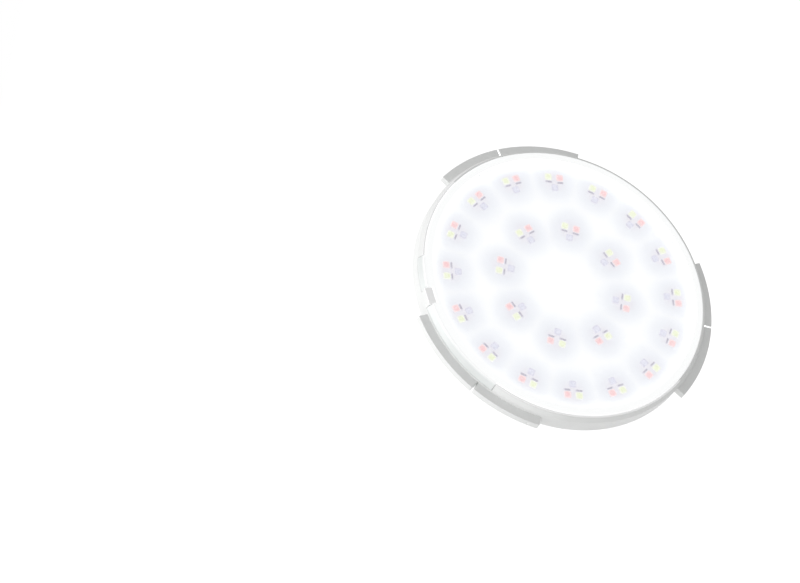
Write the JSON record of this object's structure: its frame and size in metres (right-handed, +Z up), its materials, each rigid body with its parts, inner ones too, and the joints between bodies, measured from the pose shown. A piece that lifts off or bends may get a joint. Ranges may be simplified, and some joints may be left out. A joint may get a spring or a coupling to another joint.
{
  "type": "led spotlight",
  "caption": "Flat round light-emitting spotlight with a threaded rear spigot, bayonet lugs on its rim and a cell-ribbed back.",
  "frame": {"origin": "on the lamp axis, at half the length of the spigot's thread", "axes": "+Y along the lamp axis, out of the threaded spigot, so the lens faces -Y; +Z is up, with a lug at the bottom"},
  "size_m": [0.1888, 0.0445, 0.1835],
  "materials": {
    "housing_plastic": "satin white moulded plastic",
    "clear_lens": "clear polycarbonate",
    "seal_rubber": "pale silicone rubber",
    "board_white": "white solder mask on aluminium",
    "red_package": "white package with a red lens",
    "lime_package": "white package with a yellow-green lens",
    "blue_package": "white package with a pale blue lens",
    "resistor_black": "dark ceramic with tinned ends",
    "pad_grey": "grey conducting pad",
    "spreader_aluminium": "rolled aluminium",
    "screw_steel": "stainless steel",
    "driver_green": "green solder mask",
    "chip_black": "black moulding compound",
    "capacitor_can": "aluminium can",
    "choke_ferrite": "grey ferrite",
    "terminal_grey": "grey plastic",
    "pin_metal": "plated brass",
    "resin_clear": "pale cast resin",
    "gland_plastic": "grey polyamide",
    "gland_rubber": "black rubber",
    "thrust_plastic": "white acetal"
  },
  "bodies": {
    "lamp": {"rear_housing": "housing_plastic", "front_lens": "clear_lens", "lens_seal": "seal_rubber", "led_board": "board_white", "red_leds": "red_package", "lime_leds": "lime_package", "blue_leds": "blue_package", "chip_resistors": "resistor_black", "thermal_pad": "pad_grey", "heat_spreader": "spreader_aluminium", "spreader_screws": "screw_steel", "driver_board": "driver_green", "rectifier": "chip_black", "capacitors": "capacitor_can", "choke": "choke_ferrite", "driver_chip": "chip_black", "input_terminal": "terminal_grey", "link_pins": "pin_metal", "potting_resin": "resin_clear", "gland_body": "gland_plastic", "gland_o_ring": "gland_rubber", "gland_seal": "gland_rubber"},
    "slip_ring": {"gland_thrust_ring": "thrust_plastic"},
    "cap_nut": {"gland_nut": "gland_plastic"}
  },
  "joints": [
    {"name": "ring_slide", "type": "slide", "parent": "lamp", "child": "slip_ring", "axis": [0, 1, 0], "range_m": [0, 0.003]},
    {"name": "nut_turn", "type": "hinge", "parent": "slip_ring", "child": "cap_nut", "pos_m": [0, -0.0085, 0], "axis": [0, 1, 0], "range_deg": [0, 720]}
  ],
  "couplings": [
    {"joint": "ring_slide", "follows": "nut_turn", "m_per_rad": 0.00023873}
  ]
}
